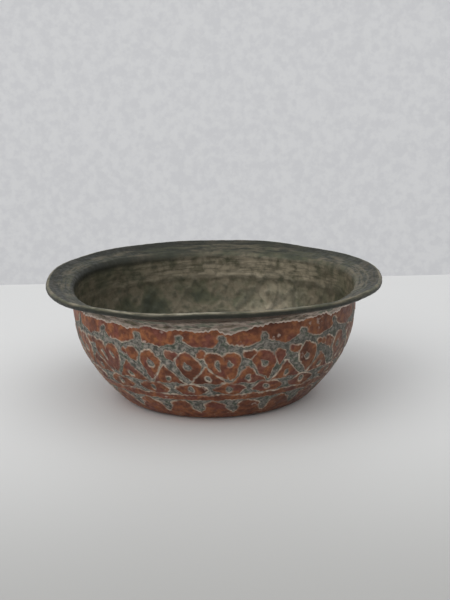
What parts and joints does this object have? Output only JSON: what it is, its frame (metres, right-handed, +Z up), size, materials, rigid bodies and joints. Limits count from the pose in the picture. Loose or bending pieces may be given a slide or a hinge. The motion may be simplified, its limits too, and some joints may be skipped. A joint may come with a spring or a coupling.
{
  "type": "tinned copper bowl",
  "caption": "Round raised copper bowl with a wide flaring lip, tinned inside, with a chased interlace band outside; holds food or liquid and stands on its flat base.",
  "frame": {"origin": "centre of the flat underside, on the bowl's axis", "axes": "+Z up along the bowl's axis; the bowl is round, so +X and +Y are any two level directions, with a knob of the ornament on +X"},
  "size_m": [0.2, 0.2, 0.07],
  "materials": {
    "copper": "hammered copper, red-brown, satin",
    "tin": "hot-wiped tin gone dark grey-green",
    "recess_tin": "dull grey-green tin left in the chased recesses",
    "iron_wire": "drawn iron wire"
  },
  "bodies": {
    "root": {"copper_shell": "copper", "rim_wire": "iron_wire", "tin_lining": "tin", "tin_overrun": "tin", "knob_fill": "recess_tin", "lattice_fill": "recess_tin", "dot_fill": "recess_tin", "eye_fill": "recess_tin", "pendant_fill": "recess_tin"}
  },
  "joints": []
}
